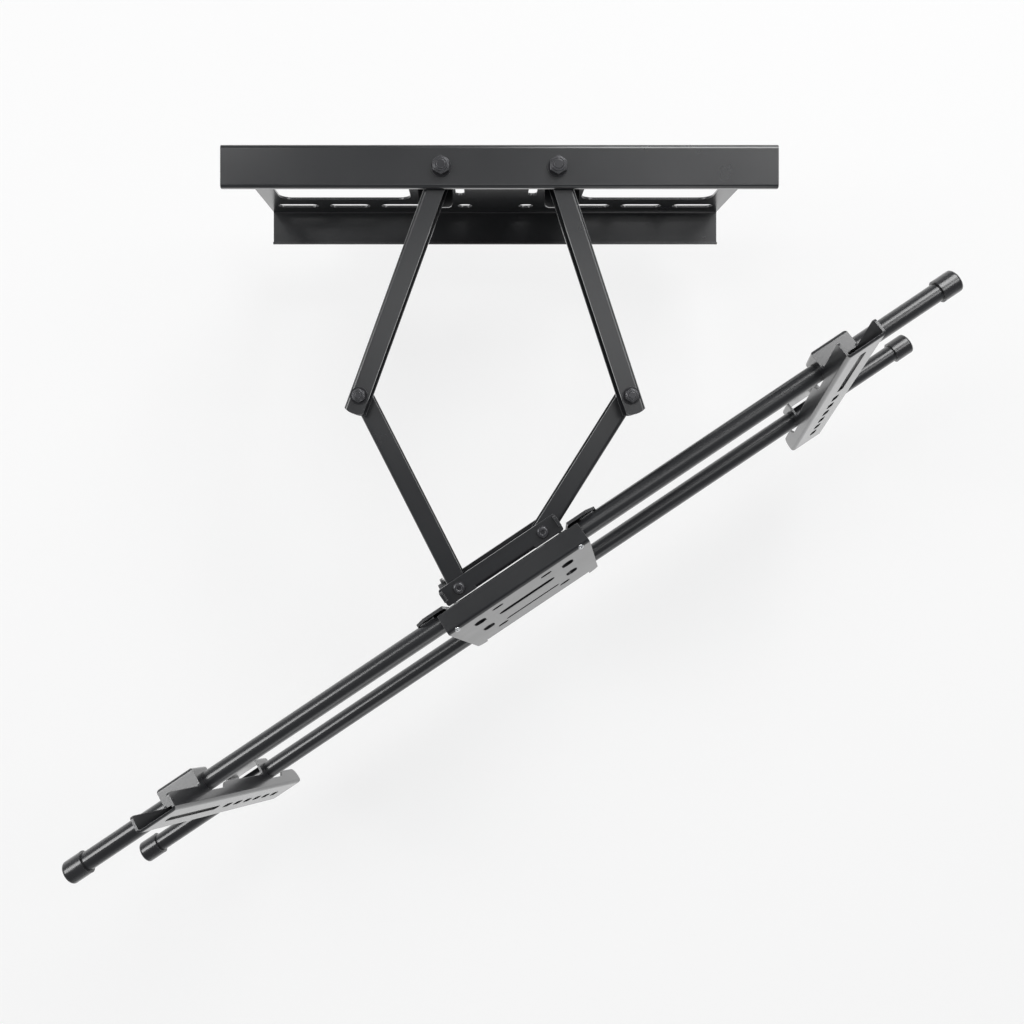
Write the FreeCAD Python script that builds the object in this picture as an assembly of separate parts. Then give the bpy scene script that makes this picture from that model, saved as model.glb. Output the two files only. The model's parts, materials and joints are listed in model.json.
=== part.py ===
"""Swivel wall mount for a flat screen, built as separate pieces in millimetres.

Frame: +Z up, the wall is the plane y = 0, the screen side is towards -Y.
The origin is the centre of the wall plate's back face.
"""
import FreeCAD
import Part

import math
import os

V = FreeCAD.Vector

# Wall plate: a folded channel with lips, slots for lag bolts and two windows
PLATE_W = 440.0
PLATE_H = 220.0
PLATE_DEPTH = 34.5
PLATE_T = 2.0
PLATE_BEND = 1.5
LIP_HEIGHT = 3.0
LIP_BEND = 0.6
WINDOW_X = (80.0, 203.0)
WINDOW_Z = 58.0
WINDOW_R = 12.0
LAG_ROW_Z = 83.0
LAG_X = (91.0, 141.0, 191.0)
LAG_LENGTH = 39.0
LAG_WIDTH = 12.0
SHORT_LAG_X = 29.5
SHORT_LAG_LENGTH = 14.0
RELIEF_X = 33.5
RELIEF_WIDTH = 8.0
RELIEF_LENGTH = 84.0

# Pivot shelf: an angle on the web with one tongue under each inner arm
SHELF_HALF = 66.0
SHELF_GAP = 75.0
SHELF_T = 2.5
SHELF_BEND = 1.0
SHELF_LEG = 32.0
SHELF_FRONT = 42.0
SHELF_STRIP = 10.0
SHELF_CORNER = 4.5
SHELF_GAP_CORNER = 4.0

# Linkage: pivot positions in plan, and the arms' channel section
SHOULDER = {"left": (-46.0, -18.0), "right": (46.0, -18.0)}
ELBOW = {"left": (-111.4, -198.0), "right": (104.7, -198.0)}
HEAD = {"left": (-32.3, -353.3), "right": (35.8, -307.7)}
ARM_W = 16.0
ARM_H = 25.0
ARM_T = 2.0
ARM_BEND = 1.0
INNER_TOP = 103.5
ELBOW_PAST = 15.0

# Fits between pieces
RUN_FIT = 0.05
LOOSE_FIT = 0.45
TILT_PLAY = 0.2
FACE_FIT = 0.2
HOOK_FIT = 0.08
LOCK_GAP = 0.4

# Fasteners
SHIM_T = 1.0
SHIM_R = 7.5
WASHER_T = 1.2
TIP_CHAMFER = 0.6
BOLT_PAST = 0.9
SHOULDER_R = 4.0
SHOULDER_FLATS = 13.0
SHOULDER_HEAD = 5.3
SHOULDER_NUT = 5.4
SHOULDER_COLLAR_R = 5.6
SHOULDER_WASHER_R = 8.0
ELBOW_R = 3.0
ELBOW_FLATS = 10.0
ELBOW_HEAD = 4.0
ELBOW_NUT = 4.2
ELBOW_COLLAR_R = 4.4
ELBOW_WASHER_R = 7.0
COLLAR_H = 1.8
COLLAR_ROUND = 0.7
HEAD_R = 4.0
HEAD_FLATS = 13.0
HEAD_NUT = 5.4
BUTTON_R = 5.2
BUTTON_H = 3.0
BUTTON_ROUND = 2.2
SOCKET_FLATS = 4.0
SOCKET_DEPTH = 2.0
TILT_R = 3.0
TILT_FLATS = 10.0
TILT_HEAD = 4.0
TILT_NUT = 3.6
TILT_WASHER_R = 7.0
TILT_WASHER_T = 1.0
TUBE_SCREW_R = 1.4
TUBE_SCREW_HEAD_R = 2.3
TUBE_SCREW_HEAD = 1.6
TUBE_SCREW_ROUND = 1.0
TUBE_SCREW_DEPTH = 5.0
TUBE_SCREW_U = 60.0

# Swivel bracket, measured from the middle of the head pivots: n is away from the wall
BRACKET_HALF = 51.0
BRACKET_REAR = 9.3
BRACKET_TOP_REAR = 7.8
BRACKET_FRONT = 8.0
BRACKET_T = 2.5
BRACKET_BEND = 1.0
BRACKET_CORNER = 2.0
SPINE_HALF = 29.0
TAB_OUT = 56.8
TAB_T = 2.5
TAB_RISE = 7.0
TAB_FRONT = 3.5
EAR_R = 7.2
TILT_BACK = 2.0
TILT_Z = 33.0

# Screen frame: two round tubes held between a face plate and a clamp plate
TILT_DEG = 15.5
TUBE_R = 8.0
TUBE_WALL = 1.5
TUBE_HALF = 434.5
LOWER_TUBE_SLIP = -5.0
TUBE_OUT = 17.0
TUBE_Z = 76.0
TUBE_SPACING = 147.0
CAP_R = 10.0
CAP_LENGTH = 18.0
CAP_END = 3.0
CAP_ROUND = 2.5
FACE_HALF = 68.5
FACE_T = 2.5
FACE_FRONT = 12.8
FACE_REACH = 5.4
FACE_BEND = 1.0
FACE_FOOT_R = 10.7
FACE_FOLD_HALF = 57.0
FACE_TAB_HALF = 58.5
FACE_TAB_DROP = 10.5
FACE_TAB_R = 9.0
FACE_TAB_INNER_R = 1.0
FACE_TALL_U = 44.0
FACE_TALL_ROWS = (-25.0, -79.0)
FACE_TALL_WIDTH = 11.0
FACE_TALL_HEIGHT = 20.0
FACE_LONG_ROWS = (-49.0, -100.0)
FACE_LONG_WIDTH = 57.0
FACE_LONG_HEIGHTS = (13.0, 6.5)
FACE_TOP_U = 24.0
FACE_TOP_ROW = -9.0
FACE_TOP_WIDTH = 11.0
FACE_TOP_HEIGHT = 8.0
FACE_LOW_U = 34.0
FACE_LOW_ROW = -113.0
FACE_LOW_WIDTH = 11.0
FACE_LOW_HEIGHT = 10.0
CLAMP_HALF = 87.5
CLAMP_T = 2.5
CLAMP_TOP_CHAMFER = 8.0
CLAMP_WING_Z = -12.0
CLAMP_WAIST_HALF = 66.0
CLAMP_WAIST_Z = -34.0
CLAMP_LOW_CHAMFER = 6.0
CLAMP_NOTCH_HALF = 58.0
CLAMP_NOTCH_Z = -16.0
CLAMP_NOTCH_SLOPE = 3.0
CLAMP_NOTCH_R = 3.0
CLAMP_WINDOW_HALF = 34.0
CLAMP_WINDOW_Z = (-118.0, -62.0)
CLAMP_WINDOW_R = 8.0
CLAMP_EAR_ROOT = (-17.0, 14.0)
CLAMP_EAR_R = 9.0

# Screen brackets that hook over the tubes
HOOK_U = 318.0
HOOK_HALF = 17.25
HOOK_T = 2.0
HOOK_BEND = 1.0
HOOK_FRONT = 17.5
HOOK_FLANGE = 3.0
HOOK_REAR = 14.0
HOOK_TOP = 79.0
HOOK_BOTTOM = -220.0
HOOK_END_R = 10.0
HOOK_CORNER = 3.0
HOOK_OVER = 17.0
HOOK_TIP = -12.0
HOOK_TIP_R = 2.0
HOOK_THROAT = -27.0
HOOK_THROAT_SLOPE = 7.0
SCREEN_SLOT_W = 6.4
SCREEN_LONG_SLOT = (-38.0, 62.0)
SCREEN_SHORT_TOP = -60.0
SCREEN_SHORT_PITCH = 24.0
SCREEN_SHORT_LENGTH = 15.0
SCREEN_SHORT_COUNT = 6
LOCK_R = 3.0
LOCK_Z = 2.0
LOCK_SOCKET = 3.0
LOCK_SOCKET_DEPTH = 2.5

# How far a cutting tool stands past the sheet that it cuts
OVERCUT = 5.0
# The straight edge left between two round corners that meet
SEAM = 0.001

# Levels and places that follow from the sizes above
INNER_BOTTOM = INNER_TOP - ARM_H
OUTER_TOP = INNER_BOTTOM - SHIM_T
OUTER_BOTTOM = OUTER_TOP - ARM_H
SHELF_TOP = INNER_BOTTOM - SHIM_T
FLANGE_TOP = OUTER_TOP + SHIM_T + BRACKET_T
FLANGE_BOTTOM = OUTER_BOTTOM - SHIM_T - BRACKET_T
FACE_LID = TUBE_R + FACE_FIT + FACE_T
FACE_BEND_R = FACE_BEND + FACE_T
FACE_TAB_LOW = -TUBE_SPACING - FACE_TAB_DROP
# The tube screws run from the upper tube's axis out through the middle of the face plate's bend
TUBE_SCREW_OUT = (FACE_FRONT - FACE_BEND_R, FACE_LID - FACE_BEND_R)
TUBE_SCREW_LEAN = math.degrees(math.atan2(*TUBE_SCREW_OUT))
TUBE_SCREW_SEAT = math.hypot(*TUBE_SCREW_OUT) + FACE_BEND_R
CLAMP_EAR_IN = BRACKET_HALF + TILT_WASHER_T + TILT_PLAY
HEAD_MID = tuple((HEAD["left"][k] + HEAD["right"][k]) / 2 for k in (0, 1))
HEAD_SPAN = math.dist(HEAD["left"], HEAD["right"])
SWIVEL_DEG = math.degrees(math.atan2(HEAD["right"][1] - HEAD["left"][1],
                                     HEAD["right"][0] - HEAD["left"][0]))


def box(x0, x1, y0, y1, z0, z1):
    return Part.makeBox(x1 - x0, y1 - y0, z1 - z0, V(x0, y0, z0))


def rod(radius, start, end):
    start = V(*start)
    axis = V(*end) - start
    return Part.makeCylinder(radius, axis.Length, start, axis)


def outline(corners, to_3d):
    """Closed wire through (a, b, radius) corners, each rounded by its radius."""
    joints = []
    count = len(corners)
    for i, (a, b, radius) in enumerate(corners):
        here = V(a, b, 0)
        if radius == 0:
            joints.append((here, None, here))
            continue
        back = (V(*corners[i - 1][:2], 0) - here).normalize()
        ahead = (V(*corners[(i + 1) % count][:2], 0) - here).normalize()
        half = back.getAngle(ahead) / 2
        reach = radius / math.tan(half)
        centre = here + (back + ahead).normalize() * (radius / math.sin(half))
        middle = centre + (here - centre).normalize() * radius
        joints.append((here + back * reach, middle, here + ahead * reach))
    edges = []
    for i, (start, middle, end) in enumerate(joints):
        if middle is not None:
            edges.append(Part.Arc(to_3d(start), to_3d(middle), to_3d(end)).toShape())
        following = joints[(i + 1) % count][0]
        if (following - end).Length > 1e-6:
            edges.append(Part.LineSegment(to_3d(end), to_3d(following)).toShape())
    return Part.Wire(edges)


def prism(corners, axis, start, end):
    """Extrude an outline along x, y or z; its two coordinates are the other two axes."""
    place = {
        "x": lambda p: V(start, p.x, p.y),
        "y": lambda p: V(p.x, start, p.y),
        "z": lambda p: V(p.x, p.y, start),
    }[axis]
    along = {"x": V(1, 0, 0), "y": V(0, 1, 0), "z": V(0, 0, 1)}[axis]
    return Part.Face(outline(corners, place)).extrude(along * (end - start))


def rectangle(a0, a1, b0, b1, radius):
    return [(a0, b0, radius), (a1, b0, radius), (a1, b1, radius), (a0, b1, radius)]


def slot(a, b, length, height):
    """Slot outline with round ends, centred on (a, b)."""
    radius = min(length, height) / 2 - SEAM
    return rectangle(a - length / 2, a + length / 2, b - height / 2, b + height / 2, radius)


def moved(shape, x, y, z=0.0):
    shape = shape.copy()
    shape.translate(V(x, y, z))
    return shape


def turned(shape, axis, degrees):
    shape = shape.copy()
    shape.rotate(V(0, 0, 0), V(*axis), degrees)
    return shape


def rim(shape, axis, level):
    """The full circle edges of a turned shape at one level along an axis."""
    return [e for e in shape.Edges
            if len(e.Vertexes) == 1 and abs(getattr(e.CenterOfMass, axis) - level) < 1e-6]


def hexagon(flats):
    radius = flats / math.sqrt(3)
    corners = []
    for k in range(6):
        angle = math.radians(60 * k + 30)
        corners.append((radius * math.cos(angle), radius * math.sin(angle), 0))
    return corners


def hex_block(flats, height):
    """Hex prism standing on z = 0, its upper corners turned off at 30 degrees."""
    body = prism(hexagon(flats), "z", 0, height)
    spread = height * math.sqrt(3)
    return body.common(Part.makeCone(flats / 2 + spread, flats / 2, height))


def shank(radius, length):
    shape = rod(radius, (0, 0, 0), (0, 0, length))
    return shape.makeChamfer(TIP_CHAMFER, rim(shape, "z", length))


def hex_bolt(radius, flats, head, length):
    """Bolt pointing up, with its head under z = 0."""
    return turned(hex_block(flats, head), (1, 0, 0), 180).fuse(shank(radius, length)).removeSplitter()


def button_bolt(radius, length):
    """Low domed bolt with a hex socket, pointing down from its seat at z = 0."""
    dome = rod(BUTTON_R, (0, 0, 0), (0, 0, BUTTON_H))
    dome = dome.makeFillet(BUTTON_ROUND, rim(dome, "z", BUTTON_H))
    dome = dome.cut(prism(hexagon(SOCKET_FLATS), "z", BUTTON_H - SOCKET_DEPTH, BUTTON_H + OVERCUT))
    return dome.fuse(turned(shank(radius, length), (1, 0, 0), 180)).removeSplitter()


def ring(outer, inner, height):
    return rod(outer, (0, 0, 0), (0, 0, height)).cut(rod(inner, (0, 0, 0), (0, 0, height)))


def lock_nut(flats, height, collar_r, bore):
    """Hex nut standing on z = 0, with a round collar that holds its locking insert."""
    collar = rod(collar_r, (0, 0, 0), (0, 0, height + COLLAR_H))
    collar = collar.makeFillet(COLLAR_ROUND, rim(collar, "z", height + COLLAR_H))
    shape = hex_block(flats, height).fuse(collar)
    return shape.cut(rod(bore, (0, 0, 0), (0, 0, height + COLLAR_H))).removeSplitter()


def wall_plate():
    half = PLATE_H / 2
    t = PLATE_T
    front = -PLATE_DEPTH
    lip = half - t - LIP_HEIGHT
    upper = [
        (0, half, PLATE_BEND + t), (front, half, LIP_BEND + t), (front, lip, 0),
        (front + t, lip, 0), (front + t, half - t, LIP_BEND), (-t, half - t, PLATE_BEND),
    ]
    lower = [(y, -z, radius) for y, z, radius in reversed(upper)]
    shape = prism(upper + lower, "x", -PLATE_W / 2, PLATE_W / 2)
    holes = []
    for side in (-1, 1):
        edges = sorted((side * WINDOW_X[0], side * WINDOW_X[1]))
        holes.append(rectangle(*edges, -WINDOW_Z, WINDOW_Z, WINDOW_R))
        holes.append(slot(side * RELIEF_X, 0, RELIEF_WIDTH, RELIEF_LENGTH))
        for row in (-LAG_ROW_Z, LAG_ROW_Z):
            holes += [slot(side * x, row, LAG_LENGTH, LAG_WIDTH) for x in LAG_X]
            holes.append(slot(side * SHORT_LAG_X, row, SHORT_LAG_LENGTH, LAG_WIDTH))
    tools = [prism(hole, "y", -t - OVERCUT, OVERCUT) for hole in holes]
    for x, y in SHOULDER.values():
        tools.append(rod(SHOULDER_R + RUN_FIT, (x, y, half - t - OVERCUT), (x, y, half + OVERCUT)))
    return shape.cut(tools)


def pivot_shelf():
    """Angle on the web; its two tongues carry the lower bearings of the inner arms."""
    top = SHELF_TOP
    t = SHELF_T
    back = -PLATE_T
    front = -SHELF_FRONT
    low = top - SHELF_LEG
    section = [
        (front, top, 0), (back, top, SHELF_BEND + t), (back, low, 0),
        (back - t, low, 0), (back - t, top - t, SHELF_BEND), (front, top - t, 0),
    ]
    shape = prism(section, "x", -SHELF_HALF, SHELF_HALF)
    inner = SHELF_GAP / 2
    strip = back - SHELF_STRIP
    plan = [
        (-SHELF_HALF, 0, 0), (SHELF_HALF, 0, 0), (SHELF_HALF, front, SHELF_CORNER),
        (inner, front, SHELF_GAP_CORNER), (inner, strip, SHELF_GAP_CORNER),
        (-inner, strip, SHELF_GAP_CORNER), (-inner, front, SHELF_GAP_CORNER),
        (-SHELF_HALF, front, SHELF_CORNER),
    ]
    shape = shape.common(prism(plan, "z", low - OVERCUT, top + OVERCUT))
    holes = []
    for x, y in SHOULDER.values():
        holes.append(rod(SHOULDER_R + RUN_FIT, (x, y, top - t - OVERCUT), (x, y, top + OVERCUT)))
    return shape.cut(holes)


def arm(start, end, bottom, web_side, past_end, bores):
    """Channel-section arm from one pivot to the other, made along x and then turned into place."""
    length = math.dist(start, end)
    half = ARM_W / 2
    top = bottom + ARM_H
    open_edge = -web_side * half
    web = web_side * half
    inside = web_side * (half - ARM_T)
    section = [
        (open_edge, top, 0), (web, top, ARM_BEND + ARM_T), (web, bottom, ARM_BEND + ARM_T),
        (open_edge, bottom, 0), (open_edge, bottom + ARM_T, 0), (inside, bottom + ARM_T, ARM_BEND),
        (inside, top - ARM_T, ARM_BEND), (open_edge, top - ARM_T, 0),
    ]
    channel = prism(section, "x", -half, length + past_end)
    levels = (bottom - OVERCUT, top + OVERCUT)
    plan = box(0, length, -half, half, *levels)
    plan = plan.fuse(rod(half, (0, 0, levels[0]), (0, 0, levels[1])))
    tail = rod(past_end, (length, 0, levels[0]), (length, 0, levels[1]))
    plan = plan.fuse(tail.common(box(length, length + past_end, -half, half, *levels)))
    shape = channel.common(plan.removeSplitter())
    for x, bore in zip((0, length), bores):
        shape = shape.cut(rod(bore, (x, 0, levels[0]), (x, 0, levels[1])))
    turn = math.degrees(math.atan2(end[1] - start[1], end[0] - start[0]))
    return moved(turned(shape, (0, 0, 1), turn), *start)


def to_head(shape):
    """From the head's own axes (x along the tubes, y towards the wall) to the shared frame."""
    return moved(turned(shape, (0, 0, 1), SWIVEL_DEG), *HEAD_MID)


def to_frame(shape):
    """From the screen frame's axes (x along, y towards the wall, z up the face, origin on the tube)."""
    return to_head(moved(turned(shape, (1, 0, 0), -TILT_DEG), 0, -TUBE_OUT, TUBE_Z))


def swivel_bracket():
    """One folded sheet: two pivot flanges joined by a spine, with stop tabs and tilt ears."""
    t = BRACKET_T
    rear = BRACKET_REAR
    front = -BRACKET_FRONT
    plan = rectangle(-TAB_OUT, TAB_OUT, front, BRACKET_TOP_REAR, BRACKET_CORNER)
    shape = prism(plan, "z", FLANGE_TOP - t, FLANGE_TOP)
    shape = shape.fuse(box(-BRACKET_HALF, BRACKET_HALF, front, rear, FLANGE_BOTTOM, FLANGE_BOTTOM + t))
    bend = BRACKET_BEND
    root = front + t + bend
    fold = [
        (root, FLANGE_TOP, 0), (front, FLANGE_TOP, bend + t), (front, FLANGE_BOTTOM, bend + t),
        (root, FLANGE_BOTTOM, 0), (root, FLANGE_BOTTOM + t, 0), (front + t, FLANGE_BOTTOM + t, bend),
        (front + t, FLANGE_TOP - t, bend), (root, FLANGE_TOP - t, 0),
    ]
    shape = shape.cut(box(-SPINE_HALF, SPINE_HALF, front, root, FLANGE_BOTTOM, FLANGE_TOP))
    shape = shape.fuse(prism(fold, "x", -SPINE_HALF, SPINE_HALF))
    tab_rear = BRACKET_TOP_REAR - BRACKET_CORNER
    for side in (-1, 1):
        tab = [
            (-TAB_FRONT, FLANGE_TOP - t, 0), (tab_rear, FLANGE_TOP - t, 0),
            (tab_rear, FLANGE_TOP + TAB_RISE, BRACKET_CORNER),
            (-TAB_FRONT, FLANGE_TOP + TAB_RISE, BRACKET_CORNER),
        ]
        shape = shape.fuse(prism(tab, "x", *sorted((side * (TAB_OUT - TAB_T), side * TAB_OUT))))
        wall = sorted((side * (BRACKET_HALF - t), side * BRACKET_HALF))
        ear_edges = (TILT_BACK - EAR_R, TILT_BACK + EAR_R)
        ear = [
            (ear_edges[0], TILT_Z - EAR_R, EAR_R - SEAM), (ear_edges[1], TILT_Z - EAR_R, EAR_R - SEAM),
            (ear_edges[1], FLANGE_BOTTOM + t, 0), (ear_edges[0], FLANGE_BOTTOM + t, 0),
        ]
        hole = rod(TILT_R + RUN_FIT, (-OVERCUT, 0, 0), (t + OVERCUT, 0, 0))
        shape = shape.fuse(prism(ear, "x", *wall).cut(moved(hole, wall[0], TILT_BACK, TILT_Z)))
        x = side * HEAD_SPAN / 2
        bore = rod(HEAD_R + RUN_FIT, (x, 0, FLANGE_BOTTOM - OVERCUT), (x, 0, FLANGE_TOP + OVERCUT))
        shape = shape.cut(bore)
    return to_head(shape.removeSplitter())


def tube_screw_hole(side):
    """Hole along a tube screw's line, from the upper tube's axis out past the face plate."""
    hole = rod(TUBE_SCREW_R, (0, 0, 0), (0, 0, TUBE_SCREW_SEAT + OVERCUT))
    return moved(turned(hole, (1, 0, 0), TUBE_SCREW_LEAN), side * TUBE_SCREW_U, 0)


def face_section(folded):
    """Side outline of the face plate, folded over the upper tube and, if asked, under the lower one."""
    t = FACE_T
    front = -FACE_FRONT
    upper = [(FACE_REACH, FACE_LID, 0), (front, FACE_LID, FACE_BEND_R)]
    lining = [(front + t, FACE_LID - t, FACE_BEND), (FACE_REACH, FACE_LID - t, 0)]
    if not folded:
        return upper + [(front, FACE_TAB_LOW, 0), (front + t, FACE_TAB_LOW, 0)] + lining
    low = -TUBE_SPACING - FACE_LID
    foot = [
        (front, low, FACE_FOOT_R), (FACE_REACH, low, 0),
        (FACE_REACH, low + t, 0), (front + t, low + t, FACE_FOOT_R - t),
    ]
    return upper + foot + lining


def face_plate():
    """Front channel round both tubes, with flat rounded tabs at its two lower corners."""
    front = -FACE_FRONT
    fold_end = FACE_FOOT_R - FACE_LID - TUBE_SPACING
    shape = prism(face_section(True), "x", -FACE_FOLD_HALF, FACE_FOLD_HALF)
    fold_top = box(-FACE_HALF, FACE_HALF, front, FACE_REACH, fold_end, FACE_LID)
    shape = shape.fuse(prism(face_section(False), "x", -FACE_HALF, FACE_HALF).common(fold_top))
    cuts = []
    for row, height in zip(FACE_LONG_ROWS, FACE_LONG_HEIGHTS):
        cuts.append(slot(0, row, FACE_LONG_WIDTH, height))
    for side in (-1, 1):
        cuts += [slot(side * FACE_TALL_U, row, FACE_TALL_WIDTH, FACE_TALL_HEIGHT) for row in FACE_TALL_ROWS]
        cuts.append(slot(side * FACE_TOP_U, FACE_TOP_ROW, FACE_TOP_WIDTH, FACE_TOP_HEIGHT))
        cuts.append(slot(side * FACE_LOW_U, FACE_LOW_ROW, FACE_LOW_WIDTH, FACE_LOW_HEIGHT))
        edges = (side * FACE_TAB_HALF, side * FACE_HALF)
        tab = [
            (edges[0], fold_end, 0), (edges[0], FACE_TAB_LOW, FACE_TAB_INNER_R),
            (edges[1], FACE_TAB_LOW, FACE_TAB_R), (edges[1], fold_end, 0),
        ]
        shape = shape.fuse(prism(tab, "y", front, front + FACE_T))
    shape = shape.removeSplitter().cut([prism(cut, "y", front - OVERCUT, front + OVERCUT) for cut in cuts])
    return to_frame(shape.cut([tube_screw_hole(side) for side in (-1, 1)]))


def clamp_plate():
    """Plate behind the tubes, cut down between the arms, with ears that reach the tilt bolts."""
    front = TUBE_R
    back = TUBE_R + CLAMP_T
    top = FACE_LID
    low = -TUBE_SPACING - FACE_LID
    half = CLAMP_HALF
    waist = CLAMP_WAIST_HALF
    right = [
        (waist - CLAMP_LOW_CHAMFER, low, 0), (waist, low + CLAMP_LOW_CHAMFER, 0),
        (waist, CLAMP_WAIST_Z, 0), (half, CLAMP_WING_Z, 0),
        (half, top - CLAMP_TOP_CHAMFER, 0), (half - CLAMP_TOP_CHAMFER, top, 0),
        (CLAMP_NOTCH_HALF + CLAMP_NOTCH_SLOPE, top, 0), (CLAMP_NOTCH_HALF, CLAMP_NOTCH_Z, CLAMP_NOTCH_R),
    ]
    left = [(-x, z, radius) for x, z, radius in reversed(right)]
    shape = prism(right + left, "y", front, back)
    window = rectangle(-CLAMP_WINDOW_HALF, CLAMP_WINDOW_HALF, *CLAMP_WINDOW_Z, CLAMP_WINDOW_R)
    shape = shape.cut(prism(window, "y", front - OVERCUT, back + OVERCUT))
    # The tilt axis as the frame's own axes see it
    tilt = math.radians(TILT_DEG)
    dy = TUBE_OUT + TILT_BACK
    dz = TILT_Z - TUBE_Z
    y = dy * math.cos(tilt) - dz * math.sin(tilt)
    z = dy * math.sin(tilt) + dz * math.cos(tilt)
    for side in (-1, 1):
        wall = sorted((side * CLAMP_EAR_IN, side * (CLAMP_EAR_IN + CLAMP_T)))
        ear = [
            (front, z + CLAMP_EAR_ROOT[0], 0), (front, z + CLAMP_EAR_ROOT[1], 0),
            (y + CLAMP_EAR_R, z + CLAMP_EAR_R, CLAMP_EAR_R - SEAM),
            (y + CLAMP_EAR_R, z - CLAMP_EAR_R, CLAMP_EAR_R - SEAM),
        ]
        shape = shape.fuse(prism(ear, "x", *wall))
        shape = shape.cut(rod(TILT_R + RUN_FIT, (wall[0] - OVERCUT, y, z), (wall[1] + OVERCUT, y, z)))
    return to_frame(shape.removeSplitter())


def tube(slip, z):
    ends = ((slip - TUBE_HALF, 0, z), (slip + TUBE_HALF, 0, z))
    return rod(TUBE_R, *ends).cut(rod(TUBE_R - TUBE_WALL, *ends))


def end_cap(side, slip, z):
    outer = TUBE_HALF + CAP_END
    inner = outer - CAP_LENGTH
    shape = rod(CAP_R, (inner, 0, 0), (outer, 0, 0))
    shape = shape.makeFillet(CAP_ROUND, rim(shape, "x", outer))
    shape = shape.cut(rod(TUBE_R, (inner, 0, 0), (TUBE_HALF, 0, 0)))
    if side < 0:
        shape = shape.mirror(V(0, 0, 0), V(1, 0, 0))
    return to_frame(moved(shape, slip, 0, z))


def tube_screw(side):
    """Small round-headed screw that leans forward through the face plate into the upper tube."""
    seat = TUBE_SCREW_SEAT
    top = seat + TUBE_SCREW_HEAD
    head = rod(TUBE_SCREW_HEAD_R, (0, 0, seat), (0, 0, top))
    head = head.makeFillet(TUBE_SCREW_ROUND, rim(head, "z", top))
    stem = rod(TUBE_SCREW_R, (0, 0, TUBE_SCREW_DEPTH), (0, 0, seat))
    screw = turned(head.fuse(stem).removeSplitter(), (1, 0, 0), TUBE_SCREW_LEAN)
    return to_frame(moved(screw, side * TUBE_SCREW_U, 0))


def hook_profile():
    """Side outline of a screen bracket: y towards the wall, z up the face."""
    gap = TUBE_R + HOOK_FIT
    corners = [
        (-HOOK_FRONT, HOOK_BOTTOM, HOOK_CORNER), (-HOOK_FRONT, HOOK_TOP, HOOK_CORNER),
        (-HOOK_FLANGE, HOOK_TOP, HOOK_CORNER),
    ]
    for z in (0, -TUBE_SPACING):
        corners += [
            (-HOOK_FLANGE, z + HOOK_OVER, HOOK_CORNER), (HOOK_REAR, z + HOOK_OVER, HOOK_CORNER),
            (HOOK_REAR, z + HOOK_TIP, HOOK_TIP_R), (gap, z + HOOK_TIP, HOOK_TIP_R),
            (gap, z + gap, gap - SEAM), (-gap, z + gap, gap - SEAM),
            (-gap, z + HOOK_THROAT, HOOK_CORNER),
            (-HOOK_FLANGE, z + HOOK_THROAT - HOOK_THROAT_SLOPE, HOOK_CORNER),
        ]
    return corners + [(-HOOK_FLANGE, HOOK_BOTTOM, HOOK_END_R)]


def screen_bracket(side):
    """Folded box section cut to the hook outline: open channel between its two closed hooks."""
    u = side * HOOK_U
    t = HOOK_T
    shape = prism(rectangle(u - HOOK_HALF, u + HOOK_HALF, -HOOK_FRONT, HOOK_REAR, HOOK_BEND + t),
                  "z", HOOK_BOTTOM, HOOK_TOP)
    hollow = rectangle(u - HOOK_HALF + t, u + HOOK_HALF - t, t - HOOK_FRONT, HOOK_REAR - t, HOOK_BEND)
    shape = shape.cut(prism(hollow, "z", HOOK_BOTTOM, HOOK_TOP))
    walls = (u - HOOK_HALF + t, u + HOOK_HALF - t)
    shape = shape.fuse(box(*walls, -HOOK_FLANGE, HOOK_REAR - t, HOOK_OVER - t, HOOK_OVER))
    shape = shape.common(prism(hook_profile(), "x", u - HOOK_HALF, u + HOOK_HALF)).removeSplitter()
    holes = [slot(u, sum(SCREEN_LONG_SLOT) / 2, SCREEN_SLOT_W, SCREEN_LONG_SLOT[1] - SCREEN_LONG_SLOT[0])]
    for k in range(SCREEN_SHORT_COUNT):
        holes.append(slot(u, SCREEN_SHORT_TOP - SCREEN_SHORT_PITCH * k, SCREEN_SLOT_W, SCREEN_SHORT_LENGTH))
    cuts = [prism(hole, "y", -HOOK_FRONT - OVERCUT, t - HOOK_FRONT + HOOK_BEND) for hole in holes]
    cuts.append(rod(LOCK_R, (u, HOOK_REAR - t - HOOK_BEND, LOCK_Z), (u, HOOK_REAR + OVERCUT, LOCK_Z)))
    return to_frame(shape.cut(cuts))


def lock_screw(side):
    """Socket set screw in the rear wall of the upper hook; it stops just short of the tube."""
    length = HOOK_REAR - TUBE_R - LOCK_GAP
    shape = turned(shank(LOCK_R, length), (1, 0, 0), 90)
    socket = turned(prism(hexagon(LOCK_SOCKET), "z", -OVERCUT, LOCK_SOCKET_DEPTH), (1, 0, 0), 90)
    return to_frame(moved(shape.cut(socket), side * HOOK_U, HOOK_REAR, LOCK_Z))


def placed(pieces, prefix, pivot):
    """Stand each (shape, level) on a pivot's axis, under its full node name."""
    return {prefix + part: moved(shape, *pivot, level) for part, (shape, level) in pieces.items()}


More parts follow.
